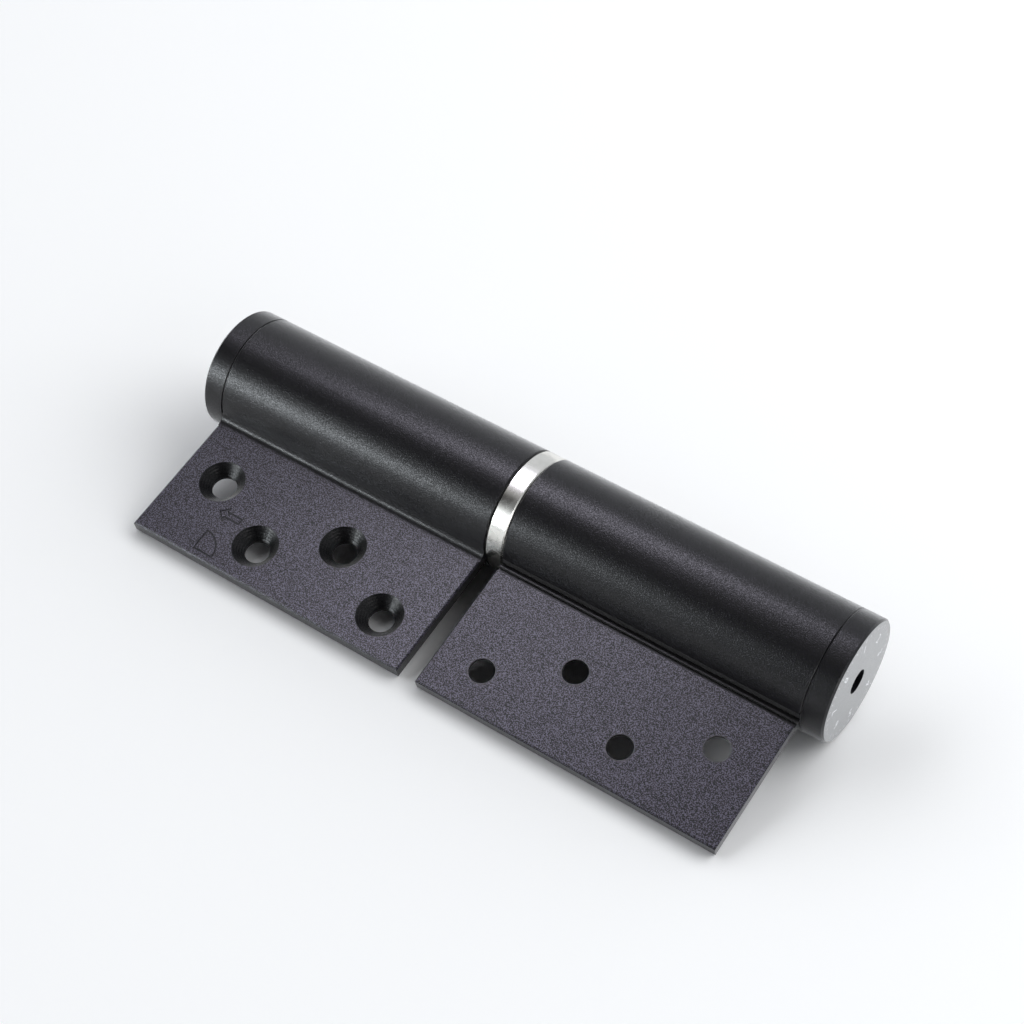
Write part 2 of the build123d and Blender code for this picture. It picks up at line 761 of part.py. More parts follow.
print("swing", round(swing, 3), "deg, stroke", round(stroke, 3), "mm, lead per radian",
      round(lead / (2 * pi), 5), "mm")
print("pin axis y", round(pin_y, 4), "z", pin_z, "door tilt", round(door_tilt, 4),
      "frame tilt", round(frame_tilt, 4))
print("piston slack before the circlip", round(
    piston_start - stroke - clip_start - circlip_width, 2), "mm")
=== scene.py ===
# %% [markdown]
# A self-closing door hinge lies on white paper: two black barrels on one pin, a polished
# ring between them, and two flat leaves that reach towards the front.
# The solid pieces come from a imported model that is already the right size. This lesson
# gives every piece its finish, adds the fine details that only show close up, and lights
# the hinge as in a small product studio.

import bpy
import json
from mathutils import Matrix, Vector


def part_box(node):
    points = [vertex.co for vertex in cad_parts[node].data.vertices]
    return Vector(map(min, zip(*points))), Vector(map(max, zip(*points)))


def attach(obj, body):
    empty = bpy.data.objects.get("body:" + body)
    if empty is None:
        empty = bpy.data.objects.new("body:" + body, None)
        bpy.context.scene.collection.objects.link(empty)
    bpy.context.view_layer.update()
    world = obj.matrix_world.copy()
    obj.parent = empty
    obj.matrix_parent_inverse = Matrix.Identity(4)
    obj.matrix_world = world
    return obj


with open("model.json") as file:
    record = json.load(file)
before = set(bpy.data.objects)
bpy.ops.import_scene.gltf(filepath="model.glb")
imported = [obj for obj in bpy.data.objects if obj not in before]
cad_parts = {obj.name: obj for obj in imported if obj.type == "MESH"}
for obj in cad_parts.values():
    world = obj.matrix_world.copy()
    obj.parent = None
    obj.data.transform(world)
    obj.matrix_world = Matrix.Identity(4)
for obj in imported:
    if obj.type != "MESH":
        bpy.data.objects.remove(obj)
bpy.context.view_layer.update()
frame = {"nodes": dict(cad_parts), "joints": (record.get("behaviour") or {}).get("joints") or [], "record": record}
print("pieces in the packed hinge:", len(frame["nodes"]))

# %% [markdown]
# Blender counts in metres, and a hinge is measured in millimetres. One named unit keeps
# the numbers readable. The pin's place comes from the swing joint, and the lean of each
# leaf from the face that is screwed to the wood, so nothing is measured twice.

# %% Units, the pin and the two leaves
import bmesh
import bpy
import json
from math import asin, cos, pi, radians, sin
from mathutils import Matrix, Vector

mm = 0.001
mounts = {mount["name"]: mount for mount in frame["record"]["mounts"]}
swing = next(joint for joint in frame["joints"] if joint["name"] == "door_swing")
pin = Vector((0, swing["pos_m"][1], swing["pos_m"][2]))
door_lean = asin(mounts["door_mounting_face"]["axis"][1])
frame_lean = asin(-mounts["frame_mounting_face"]["axis"][1])
print("pin height", round(pin.z / mm, 2), "mm, door leaf leans", round(door_lean, 3),
      "rad, frame leaf", round(frame_lean, 3), "rad")

# %% [markdown]
# Each leaf has its own flat frame of reference: X along the pin, Y in the plane of the
# leaf and Z up off its face. Y grows towards the pin, so it is negative on the leaf.
# Turning world coordinates into that frame makes a screw hole a plain circle. The screw
# holes are bolt patterns of two, half a pattern either side of a centre.

# %% The leaf frames and their screw holes


def leaf_matrix(lean):
    """From a leaf's own frame to the world."""
    return Matrix.Translation(pin) @ Matrix.Rotation(lean, 4, "X")


def hole_centres(side, lean):
    """Where the four screw holes of a leaf lie in its own frame, from low X to high X."""
    centres = []
    for row in ("far", "near"):
        pattern = mounts[f"{side}_{row}_screws"]
        half = pattern["dims"]["pcd_mm"] * mm / 2
        for way in (-half, half):
            place = Vector(pattern["pos_m"]) + Vector((way, 0, 0))
            centres.append(leaf_matrix(lean).inverted() @ place)
    return sorted(centres, key=lambda centre: centre.x)


door_holes = hole_centres("door", door_lean)
frame_holes = hole_centres("frame", frame_lean)
for name, holes in (("door", door_holes), ("frame", frame_holes)):
    print(name, "leaf holes at", [(round(h.x / mm, 1), round(-h.y / mm, 1)) for h in holes])

# %% [markdown]
# The camera looks down at the hinge from the front right with a long lens, so that the
# barrels hardly taper. It is placed by where it aims, how far off it stands and its three
# angles, which is easier to read and to change than a matrix. Blender takes the width of
# the sensor and the length of the lens in millimetres, whatever the scene's own unit is.

# %% Camera
aim = Vector((-3.966, 15.569, 16.0)) * mm
camera_distance = 523.26 * mm
camera_elevation = radians(44.8786)
camera_azimuth = radians(32.3148)
camera_roll = radians(3.1691)
sensor_width = 36
lens_length = 74.5745

camera_data = bpy.data.cameras.new("studio_camera")
camera_data.sensor_width = sensor_width
camera_data.lens = lens_length
camera_data.clip_start = 10 * mm
camera = bpy.data.objects.new("studio_camera", camera_data)
bpy.context.scene.collection.objects.link(camera)
towards_camera = Vector((
    sin(camera_azimuth) * cos(camera_elevation),
    -cos(camera_azimuth) * cos(camera_elevation),
    sin(camera_elevation),
))
turn = towards_camera.to_track_quat("Z", "Y").to_matrix().to_4x4()
camera.matrix_world = (
    Matrix.Translation(aim + towards_camera * camera_distance)
    @ turn @ Matrix.Rotation(camera_roll, 4, "Z")
)
bpy.context.scene.camera = camera
bpy.context.scene.view_settings.view_transform = "Standard"
print("camera stands", round(camera.location.z, 3), "m above the paper")

# %% [markdown]
# Materials, the world and geometry trees are all built from nodes. They could be laid out
# by hand in the node editor, but a script can be read and run again. Five small helpers
# keep it short: one fills a socket, one adds a node with its settings and inputs, one does
# sums, one turns a distance into a soft step between 0 and 1, and one mixes two colours.

# %% Helpers for node trees


def feed(tree, target, value):
    """Link a socket, or set a plain value."""
    if isinstance(value, bpy.types.NodeSocket):
        tree.links.new(value, target)
    else:
        target.default_value = value


def add_node(tree, kind, settings=None, inputs=None):
    """Add a node, set its properties and fill or link its inputs."""
    made = tree.nodes.new(kind)
    for key, value in (settings or {}).items():
        setattr(made, key, value)
    for key, value in (inputs or {}).items():
        feed(tree, made.inputs[key], value)
    return made


def calc(tree, operation, *values):
    """The result of one sum."""
    made = add_node(tree, "ShaderNodeMath", {"operation": operation}, dict(enumerate(values)))
    return made.outputs[0]


def fade(tree, value, low, high, start=0.0, end=1.0):
    """Goes smoothly from start to end while value goes from low to high."""
    made = add_node(tree, "ShaderNodeMapRange", {"interpolation_type": "SMOOTHSTEP"}, {
        "Value": value, "From Min": low, "From Max": high, "To Min": start, "To Max": end,
    })
    return made.outputs["Result"]


def blend_colours(tree, share, first, second):
    """A colour between two, by share."""
    made = add_node(tree, "ShaderNodeMix", {"data_type": "RGBA"})
    feed(tree, made.inputs["Factor"], share)
    feed(tree, made.inputs["A"], first)
    feed(tree, made.inputs["B"], second)
    return made.outputs["Result"]


node_helpers = (feed, add_node, calc, fade, blend_colours)
print("node helpers:", [helper.__name__ for helper in node_helpers])

# %% [markdown]
# A mask is a value that is 1 where something is and 0 where it isn't. Multiplying masks
# keeps what they share, the larger of them keeps all that they cover, and a soft edge of a
# stated width keeps a mask from looking cut out with scissors.

# %% Helpers for masks


def all_of(tree, mask, *others):
    """A mask of where every one of these masks is 1."""
    for other in others:
        mask = calc(tree, "MULTIPLY", mask, other)
    return mask


def any_of(tree, mask, *others):
    """A mask of where any one of these masks is 1."""
    for other in others:
        mask = calc(tree, "MAXIMUM", mask, other)
    return mask


def without(tree, value, mask):
    """A mask or a value, down to 0 where the second mask is 1."""
    return calc(tree, "MULTIPLY", value, calc(tree, "SUBTRACT", 1.0, mask))


def below(tree, value, limit, edge):
    """1 up to the limit, and 0 from one edge's width past it."""
    return fade(tree, value, limit, limit + edge, 1, 0)


def above(tree, value, limit, edge):
    """0 up to the limit, and 1 from one edge's width past it."""
    return fade(tree, value, limit, limit + edge)


mask_helpers = (all_of, any_of, without, below, above)
print("mask helpers:", [helper.__name__ for helper in mask_helpers])

# %% [markdown]
# The hinge lies on a sheet of white paper, and a big flat sheet does the same here. Paper
# gives back most of the light that falls on it. Its colour is a pale white for the light
# that it throws onto the hinge, and pure white where the camera or a reflection looks at
# it, so the background is clean, the shadow stays, and the hinge gets no extra light.

# %% Paper floor
floor_half = 4.0
floor_drop = 0.02 * mm
paper = (0.86, 0.88, 0.91, 1)
pure_white = (0.99, 0.995, 1, 1)

floor_mesh = bpy.data.meshes.new("paper_floor")
floor_mesh.from_pydata(
    [(x * floor_half, y * floor_half, -floor_drop)
     for x, y in ((-1, -1), (1, -1), (1, 1), (-1, 1))], [], [(0, 1, 2, 3)],
)
paper_floor = bpy.data.objects.new("paper_floor", floor_mesh)
bpy.context.scene.collection.objects.link(paper_floor)

paper_material = bpy.data.materials.new("white_paper")
paper_material.use_nodes = True
tree = paper_material.node_tree
tree.nodes.clear()
rays = add_node(tree, "ShaderNodeLightPath").outputs
seen = any_of(tree, rays["Is Camera Ray"], rays["Is Glossy Ray"], rays["Is Transmission Ray"])
shade = blend_colours(tree, seen, paper, pure_white)
matt = add_node(tree, "ShaderNodeBsdfDiffuse", inputs={"Color": shade}).outputs[0]
add_node(tree, "ShaderNodeOutputMaterial", inputs={"Surface": matt})
floor_mesh.materials.append(paper_material)
print("paper floor", 2 * floor_half, "m across")

# %% [markdown]
# Polished metal and satin black show the room round them much more than they show their
# own colour, so the room is worth a few nodes. It could be a photographed studio, but a
# direction is enough to say where a ray goes: X is to the right, Y away from the camera
# and Z up. What the hinge reflects is dim in front, where the camera stands, pale behind
# the hinge and at the far right, and grey overhead.

# %% What the hinge reflects
room_dark = (0.030, 0.028, 0.027, 1)
room_pale = (0.70, 0.72, 0.75, 1)
ceiling = (0.45, 0.45, 0.44, 1)
# Each pair says between which two amounts of X, Y or Z a part of the room begins.
ceiling_from = (0.80, 0.87)
rear_from = (0.0, 0.45)
right_from = (0.7, 0.95)

world = bpy.data.worlds.new("studio_room")
bpy.context.scene.world = world
world.use_nodes = True
tree = world.node_tree
tree.nodes.clear()
look = add_node(tree, "ShaderNodeTexCoord").outputs["Generated"]
ray = add_node(tree, "ShaderNodeSeparateXYZ", inputs={0: look}).outputs
overhead = fade(tree, ray["Z"], *ceiling_from)
around = any_of(tree, fade(tree, ray["Y"], *rear_from), fade(tree, ray["X"], *right_from))
room = blend_colours(tree, overhead, room_dark, ceiling)
room = blend_colours(tree, around, room, room_pale)
print("reflected room:", len(tree.nodes), "nodes")

# %% [markdown]
# The soft light on the hinge comes from other places than its reflections do. Pale
# screens stand low down, behind and at the left. They light the leaves evenly and leave
# the screw holes dark. Past the edge of the paper the camera sees a plain pale backdrop.
# Light Path tells the three kinds of ray apart, so one world holds all three rooms.

# %% What lights the hinge and what the camera sees
unlit = (0.03, 0.03, 0.03, 1)
screen_light = (1.72, 1.75, 1.80, 1)
backdrop = (0.86, 0.87, 0.89, 1)
low_until = (0.45, 0.65)
low_behind = (-0.8, -0.4)
rear_screen_from = (0.1, 0.4)
rear_screen_until = (0.6, 0.8)
left_until = (-0.6, -0.4)

low = all_of(tree, fade(tree, ray["Z"], *low_until, 1, 0), fade(tree, ray["Y"], *low_behind))
rear = all_of(tree, fade(tree, ray["Y"], *rear_screen_from),
              fade(tree, ray["Z"], *rear_screen_until, 1, 0))
left = fade(tree, ray["X"], *left_until, 1, 0)
lit = blend_colours(tree, any_of(tree, low, rear, left), unlit, screen_light)
rays = add_node(tree, "ShaderNodeLightPath").outputs
room = blend_colours(tree, rays["Is Diffuse Ray"], room, lit)
room = blend_colours(tree, rays["Is Camera Ray"], room, backdrop)
back = add_node(tree, "ShaderNodeBackground", inputs={"Color": room}).outputs[0]
add_node(tree, "ShaderNodeOutputWorld", inputs={"Surface": back})
print("whole room:", len(tree.nodes), "nodes")

# %% [markdown]
# Five lamps. Four of them only show as reflections: an overhead softbox draws the long
# soft streak on the barrels, a lower one at the front left draws the second streak that
# fades towards the right, a broad weak one lifts the front of the barrels, and a strip at
# the right brightens the end of the cap. The key softbox at the back right does the
# opposite: it gives light and a shadow but no streak. Each is set by its direction from
# the hinge, its distance, its width and height, the brightness of its face and its colour.

# %% Lamps
face_watts = 4


def softbox(name, direction, distance, width, height, brightness, colour, streak=True):
    """A rectangular lamp that faces the hinge, seen as a streak or else only as light."""
    lamp = bpy.data.lights.new(name, "AREA")
    lamp.shape = "RECTANGLE"
    lamp.size = width
    lamp.size_y = height
    lamp.energy = face_watts * width * height * brightness
    lamp.color = colour
    holder = bpy.data.objects.new(name, lamp)
    bpy.context.scene.collection.objects.link(holder)
    towards = Vector(direction).normalized()
    holder.matrix_world = (
        Matrix.Translation(aim + towards * distance)
        @ towards.to_track_quat("Z", "Y").to_matrix().to_4x4()
    )
    holder.visible_diffuse = not streak
    holder.visible_glossy = streak


softbox("overhead_softbox", (-0.33, 0.150, 0.918), 1.0, 0.48, 0.25, 7.2, (0.88, 0.85, 1.0))
softbox("front_left_softbox", (-0.62, -0.80, 0.22), 1.0, 0.45, 0.27, 11.0, (0.90, 0.96, 1.0))
softbox("front_fill", (-0.50, -0.80, 0.31), 1.3, 0.70, 0.72, 0.8, (0.94, 0.97, 1.0))
softbox("key_softbox", (0.47, 0.60, 0.60), 1.4, 1.8, 1.4, 1.45, (1.0, 1.0, 1.0), streak=False)
softbox("side_strip", (0.90, -0.43, 0.09), 1.0, 0.50, 0.12, 6.2, (1.0, 1.0, 1.0))
print("lamps:", [light.name for light in bpy.data.lights])

# %% [markdown]
# Every finish starts and ends the same way: it reads the piece's own coordinates and feeds
# one surface shader. Between them stand noise, for what is uneven, and bump, for what is
# too fine to be part of the solid.

# %% Helpers for finishes


def start_finish(name):
    """A new material with an empty tree, and the piece's own coordinates."""
    finish = bpy.data.materials.new(name)
    finish.use_nodes = True
    finish.node_tree.nodes.clear()
    place = add_node(finish.node_tree, "ShaderNodeTexCoord").outputs["Object"]
    return finish, finish.node_tree, place


def end_finish(tree, inputs):
    """The surface shader and the output, at the end of a tree."""
    surface = add_node(tree, "ShaderNodeBsdfPrincipled", inputs=inputs)
    add_node(tree, "ShaderNodeOutputMaterial", inputs={"Surface": surface.outputs[0]})


def noise(tree, place, size, detail=2.0):
    """A soft random value with blotches of about this size."""
    made = add_node(tree, "ShaderNodeTexNoise", inputs={
        "Vector": place, "Scale": 1 / size, "Detail": detail,
    })
    return made.outputs["Fac"]


def bumped(tree, height, depth):
    """A surface direction that follows a height of 0 to 1 times depth."""
    made = add_node(tree, "ShaderNodeBump", inputs={
        "Height": height, "Distance": depth, "Strength": 1.0,
    })
    return made.outputs["Normal"]


finish_helpers = (start_finish, end_finish, noise, bumped)
print("finish helpers:", [helper.__name__ for helper in finish_helpers])

# %% [markdown]
# The black coat on barrels, caps and leaves is a satin powder coat with a fine sandy
# grain. It could be one dark colour, but the real one sparkles: each grain tilts the
# surface a little and catches the lamp. A fine noise bumps the surface, and another picks
# specks that are smoother and glossier than the rest and paints them paler: partly the
# coat's grain, partly painted glints for grains that catch the lamp. Slow clouds change
# the gloss a little from place to place. The gloss is weak face on and steep towards the
# rim of a barrel: a low index for the clear layer and a little sheen do that.

# %% The satin black coat
coat_dark = (0.0004, 0.0004, 0.0006, 1)
# The pale speck colour is partly the coat's grain and partly painted glints.
grain_and_glint_colour = (0.072, 0.064, 0.100, 1)
grain_size = 0.28 * mm
grain_height = 0.09 * mm
cloud_size = 9 * mm
# Each pair of noise values is followed by what the coat has at one and at the other.
grain_and_glint_specks = (0.41, 0.66, 0.0, 1.0)
speck_roughness = (0.38, 0.62, 0.51, 0.15)
speck_gleam = (0.42, 0.62, 0.5, 1.0)
cloud_roughness = (0.3, 0.7, -0.015, 0.015)
coat_gloss = {
    "Specular IOR Level": 0.2, "Coat IOR": 1.3, "Coat Roughness": 0.3,
    "Sheen Weight": 0.6, "Sheen Roughness": 0.3,
}


def coat_layers(tree, place, sparkle):
    """Colour, roughness, grain and gleam of the coat; sparkle is how much of it gets the pale specks, which are
    partly grain and partly painted glints.
    """
    grain = noise(tree, place, grain_size)
    speck = noise(tree, place, grain_size, 0.0)
    cloud = noise(tree, place, cloud_size)
    # Pale specks painted into the colour: partly grain, partly painted glints.
    pale = all_of(tree, fade(tree, speck, *grain_and_glint_specks), sparkle)
    colour = blend_colours(tree, pale, coat_dark, grain_and_glint_colour)
    rough = calc(tree, "ADD", fade(tree, speck, *speck_roughness),
                 fade(tree, cloud, *cloud_roughness))
    gleam = fade(tree, speck, *speck_gleam)
    return colour, rough, grain, gleam


print("grain of the coat:", round(grain_size / mm, 2), "mm wide,",
      round(grain_height / mm, 2), "mm high")

# %% [markdown]
# The caps have the same coat as the barrels, which lies smoother than on the leaves and
# hardly shows its pale specks of painted glint. The end of the frame cap is painted a
# plain grey: a painted reflection that stands in for the pale paper it reflects. Only
# points within a few hundredths of a millimetre of that end get the grey, and a little of
# the coat's own colour stays in it.

# %% The coat on the caps
barrel_sparkle = 0.12
skin_depth = 0.02 * mm
skin_edge = 0.04 * mm
cap_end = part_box("frame_end_cap")[1].x
painted_cap_reflection = (0.25, 0.255, 0.26, 1)
painted_reflection_share = 0.8


def plain_coat():
    """The coat as it is on the caps, with a grey painted reflection on the end of the frame cap."""
    finish, tree, place = start_finish("satin_black_coat")
    colour, rough, grain, gleam = coat_layers(tree, place, barrel_sparkle)
    along = add_node(tree, "ShaderNodeSeparateXYZ", inputs={0: place}).outputs["X"]
    # The grey on the end of the frame cap is a painted reflection of the pale paper.
    end_face_mask = above(tree, along, cap_end - skin_depth - skin_edge, skin_edge)
    colour = blend_colours(tree, all_of(tree, end_face_mask, painted_reflection_share), colour, painted_cap_reflection)
    end_finish(tree, {
        "Base Color": colour, "Roughness": rough, "Normal": bumped(tree, grain, grain_height),
        "Coat Weight": gleam, **coat_gloss,
    })
    return finish


coat_finish = plain_coat()
print("coat of the caps:", len(coat_finish.node_tree.nodes), "nodes")

# %% [markdown]
# On a leaf the coat meets bare machining, first of all round the screws. The countersinks
# were turned after the coat went on and then blackened, so they are smooth and glossy, and
# the coat is thin along the rims of the holes. How far a point is from the nearest hole,
# and how high it lies above the plane that runs through the pin along the leaf, tell all
# of these apart. A ripple by that distance makes the lines that the cutter left, and a
# slow noise keeps them from being perfect.

# %% Round the screw holes
screw_face = 0.6 * mm
sink_radius = 6.0 * mm
sink_depth = 2.9 * mm
hole_radius = mounts["door_far_screws"]["dims"]["hole_r_mm"] * mm
soft_edge = 0.10 * mm
bore_edge = 0.06 * mm
rim_gap = 0.05 * mm
rim_width = 0.30 * mm
ring_pitch = 0.55 * mm
ring_depth = 0.035 * mm
ring_wander = 1.6 * mm
far_off = 1.0  # a metre away, where no leaf reaches


def hole_distance(tree, split, holes):
    """How far a point of the leaf is from the middle of the nearest screw hole."""
    flat = add_node(tree, "ShaderNodeCombineXYZ", inputs={"X": split["X"], "Y": split["Y"]})
    nearest = far_off
    for hole in holes:
        reach = add_node(tree, "ShaderNodeVectorMath", {"operation": "DISTANCE"}, {
            0: flat.outputs[0], 1: (hole.x, hole.y, 0),
        }).outputs["Value"]
        nearest = calc(tree, "MINIMUM", reach, nearest)
    return nearest


def hole_masks(tree, nearest, depth):
    """The countersinks, all that was cut round the holes, and the thin rims beside it."""
    in_sink = all_of(tree, below(tree, nearest, sink_radius, soft_edge),
                     above(tree, depth, screw_face - sink_depth, soft_edge))
    machined = any_of(tree, in_sink, below(tree, nearest, hole_radius, bore_edge))
    rim = below(tree, nearest, hole_radius + rim_gap, rim_width)
    return in_sink, machined, without(tree, rim, machined)


def turning_lines(tree, place, nearest):
    """The height of the lines that a cutter left round a hole."""
    wave = calc(tree, "SINE", calc(tree, "MULTIPLY", nearest, 2 * pi / ring_pitch))
    uneven = calc(tree, "ADD", wave, noise(tree, place, ring_wander))
    return calc(tree, "MULTIPLY", uneven, ring_depth)


print("hole radius", round(hole_radius / mm, 2), "mm, countersink radius",
      round(sink_radius / mm, 2), "mm")

# %% [markdown]
# A leaf is cut in three more places. Two marks are cut into the face of the door leaf, a
# relief runs along the barrel on the plain side, and the ends and the far edge are sawn.
# The floors of the first two are dull and a little darker; on the relief floor the
# darker colour is painted shade for its deep groove. The sawn edges hardly sparkle. Each
# is a mask between two heights or two distances.

# %% Cut marks, corner relief and sawn edges
door_marks = (-64.6 * mm, -44.2 * mm)
marks_half = 8.2 * mm
marks_floor = 0.2 * mm
lip_edge = 0.03 * mm
relief_row = 16.9 * mm
relief_half = 1.35 * mm
relief_top = -1.5 * mm
plain_side = -2.9 * mm
fine_edge = 0.05 * mm
leaf_reach = 53.0 * mm


def cut_marks(tree, split, depth, middle):
    """The floors of the cut marks, which lie in a square round this middle."""
    across = calc(tree, "ABSOLUTE", calc(tree, "SUBTRACT", split["X"], middle[0]))
    along = calc(tree, "ABSOLUTE", calc(tree, "SUBTRACT", split["Y"], middle[1]))
    return all_of(tree, below(tree, any_of(tree, across, along), marks_half, soft_edge),
                  below(tree, depth, screw_face - fine_edge, lip_edge),
                  above(tree, depth, marks_floor, soft_edge))


def corner_relief(tree, split, depth):
    """The floor of the relief that runs along the barrel on the plain side, which gets painted shade."""
    beside = calc(tree, "ABSOLUTE", calc(tree, "ADD", split["Y"], relief_row))
    return all_of(tree, below(tree, beside, relief_half, fine_edge),
                  above(tree, depth, plain_side + fine_edge, fine_edge),
                  below(tree, depth, relief_top, soft_edge))


def sawn_edges(tree, split, ends):
    """The sawn edges of a leaf, at its two ends along the pin and at its far side."""
    far = below(tree, split["Y"], skin_depth - leaf_reach, skin_edge)
    start = below(tree, split["X"], ends[0] + skin_depth, skin_edge)
    stop = above(tree, split["X"], ends[1] - skin_depth - skin_edge, skin_edge)
    return any_of(tree, far, start, stop)


print("cut marks in a square of", round(2 * marks_half / mm, 1), "mm, relief",
      round(2 * relief_half / mm, 1), "mm wide")

# %% [markdown]
# With the masks, the coat of a leaf is put together from the bottom up: the sparkle of
# pale specks, partly grain and partly painted glints, which is full on the flat of the
# leaf and faint on its barrel, then the thin rims, then bare machining and cut floors over
# all of it, with the relief floor painted darker as shade. One function serves both
# leaves. The frame leaf lies with its wood side up, so its countersinks open downwards.

# %% The coat on a leaf
leaf_root = (-19 * mm, -17 * mm)
edge_sparkle = 0.1
rim_share = 0.5
rim_colour = (0.06, 0.06, 0.065, 1)
bare_black_and_relief_shade = (0.004, 0.004, 0.005, 1)
bore_roughness = 0.14
cut_roughness = 0.75


def leaf_coat(node, lean, holes, sink_side, marks_at=(far_off, far_off)):
    """The coat of a leaf; sink_side is 1 where the countersinks open upwards, else -1."""
    finish, tree, place = start_finish(node + "_coat")
    on_leaf = add_node(tree, "ShaderNodeMapping", {"vector_type": "TEXTURE"}, {
        "Vector": place, "Location": pin, "Rotation": (lean, 0, 0),
    }).outputs["Vector"]
    split = add_node(tree, "ShaderNodeSeparateXYZ", inputs={0: on_leaf}).outputs
    depth = calc(tree, "MULTIPLY", split["Z"], float(sink_side))

    nearest = hole_distance(tree, split, holes)
    in_sink, machined, rim = hole_masks(tree, nearest, depth)
    cut = without(tree, cut_marks(tree, split, depth, marks_at), machined)
    # The corner relief is dull, and painted darker as shade in its deep groove.
    cut = any_of(tree, cut, corner_relief(tree, split, depth))
    bare = any_of(tree, machined, cut)
    sawn = sawn_edges(tree, split, [corner.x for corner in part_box(node)])

    sparkle = fade(tree, split["Y"], *leaf_root, 1.0, barrel_sparkle)
    sparkle = without(tree, sparkle, all_of(tree, sawn, 1 - edge_sparkle))
    colour, rough, grain, gleam = coat_layers(tree, place, sparkle)
    colour = blend_colours(tree, all_of(tree, rim, rim_share), colour, rim_colour)
    # Bare black for machining and cut floors; on the relief floor it is painted shade.
    colour = blend_colours(tree, bare, colour, bare_black_and_relief_shade)
    rough = without(tree, rough, bare)
    rough = calc(tree, "ADD", rough, calc(tree, "MULTIPLY", machined, bore_roughness))
    rough = calc(tree, "ADD", rough, calc(tree, "MULTIPLY", cut, cut_roughness))
    lines = all_of(tree, turning_lines(tree, place, nearest), in_sink)
    height = calc(tree, "ADD", calc(tree, "MULTIPLY", grain, grain_height), lines)
    end_finish(tree, {
        "Base Color": colour, "Roughness": rough, "Normal": bumped(tree, height, 1.0),
        "Coat Weight": gleam, **coat_gloss,
    })
    return finish


leaf_finishes = {
    "door_leaf": leaf_coat("door_leaf", door_lean, door_holes, 1, door_marks),
    "frame_leaf": leaf_coat("frame_leaf", frame_lean, frame_holes, -1),
}
for name, finish in leaf_finishes.items():
    print(name, "coat:", len(finish.node_tree.nodes), "nodes")

# %% [markdown]
# The frame cap's end face carries a dial: small scale lines and plain numbers round the hole
# for the key, so that a setting of the closing speed can be found again. Its marks are
# etched, which leaves them pale and matt. They could be one flat colour, but an etch bites
# more in one place than in the next, so a noise varies both the colour and the gloss.

# %% Finish of the etched marks
wear_from = (0.3, 0.7)
etch_size = 0.4 * mm
etch_dark = (0.62, 0.63, 0.64, 1)
etch_pale = (0.86, 0.87, 0.88, 1)
etch_roughness = (0.55, 0.40)


def etched_mark():
    """Pale etched marks, a little uneven."""
    finish, tree, place = start_finish("pale_etched_mark")
    bite = noise(tree, place, etch_size)
    end_finish(tree, {
        "Base Color": blend_colours(tree, fade(tree, bite, *wear_from), etch_dark, etch_pale),
        "Roughness": fade(tree, bite, *wear_from, *etch_roughness),
    })
    return finish


etched = etched_mark()
print("finish of the dial:", etched.name)

# %% [markdown]
# Forty scale lines by hand would be tedious. A geometry tree puts one flat bar on every
# point of a circle, makes every fifth one longer, and turns each bar to point at the
# middle. Its sizes are named inputs, so another dial needs no new tree. It ends by making
# the copies real and giving them their finish, because only real faces can be exported.

# %% A ring of scale lines
dial_sizes = ("Radius", "Length", "Width", "Height")
long_line_every = 5.0
nearly_zero = 0.1


def dial_tree(mark_finish):
    """A ring of flat bars in the XY plane, for a modifier."""
    tree = bpy.data.node_groups.new("dial_ring", "GeometryNodeTree")
    kinds = {"Lines": "NodeSocketInt", **dict.fromkeys(dial_sizes, "NodeSocketFloat")}
    sockets = {}
    for label, kind in kinds.items():
        made = tree.interface.new_socket(label, in_out="INPUT", socket_type=kind)
        sockets[label] = made.identifier
    tree.interface.new_socket("Mesh", in_out="OUTPUT", socket_type="NodeSocketGeometry")
    given = add_node(tree, "NodeGroupInput").outputs
    circle = add_node(tree, "GeometryNodeMeshCircle", inputs={
        "Vertices": given["Lines"], "Radius": given["Radius"],
    })
    size = add_node(tree, "ShaderNodeCombineXYZ", inputs={
        "X": given["Length"], "Y": given["Width"], "Z": given["Height"],
    })
    bar = add_node(tree, "GeometryNodeMeshCube", inputs={"Size": size.outputs[0]})
    count = add_node(tree, "GeometryNodeInputIndex").outputs[0]
    angle = calc(tree, "DIVIDE", calc(tree, "MULTIPLY", count, 2 * pi), given["Lines"])
    turn_by = add_node(tree, "ShaderNodeCombineXYZ", inputs={"Z": angle})
    is_long = calc(tree, "COMPARE", calc(tree, "MODULO", count, long_line_every), 0.0,
                   nearly_zero)
    stretch = add_node(tree, "ShaderNodeCombineXYZ", inputs={
        "X": calc(tree, "ADD", 1.0, is_long), "Y": 1.0, "Z": 1.0,
    })
    placed = add_node(tree, "GeometryNodeInstanceOnPoints", inputs={
        "Points": circle.outputs["Mesh"], "Instance": bar.outputs["Mesh"],
        "Rotation": turn_by.outputs[0], "Scale": stretch.outputs[0],
    })
    real = add_node(tree, "GeometryNodeRealizeInstances", inputs={
        "Geometry": placed.outputs["Instances"],
    })
    painted = add_node(tree, "GeometryNodeSetMaterial", inputs={
        "Geometry": real.outputs["Geometry"], "Material": mark_finish,
    })
    add_node(tree, "NodeGroupOutput", inputs={"Mesh": painted.outputs["Geometry"]})
    return tree, sockets


ring_tree, ring_inputs = dial_tree(etched)
print("dial tree:", len(ring_tree.nodes), "nodes, inputs", list(ring_inputs))

# %% [markdown]
# A tree only shows its result through a modifier, and a number is a curve. Both are turned
# into plain meshes, because a finished piece has its place in its mesh and no modifier.

# %% Helpers for plain meshes
number_steps = 3


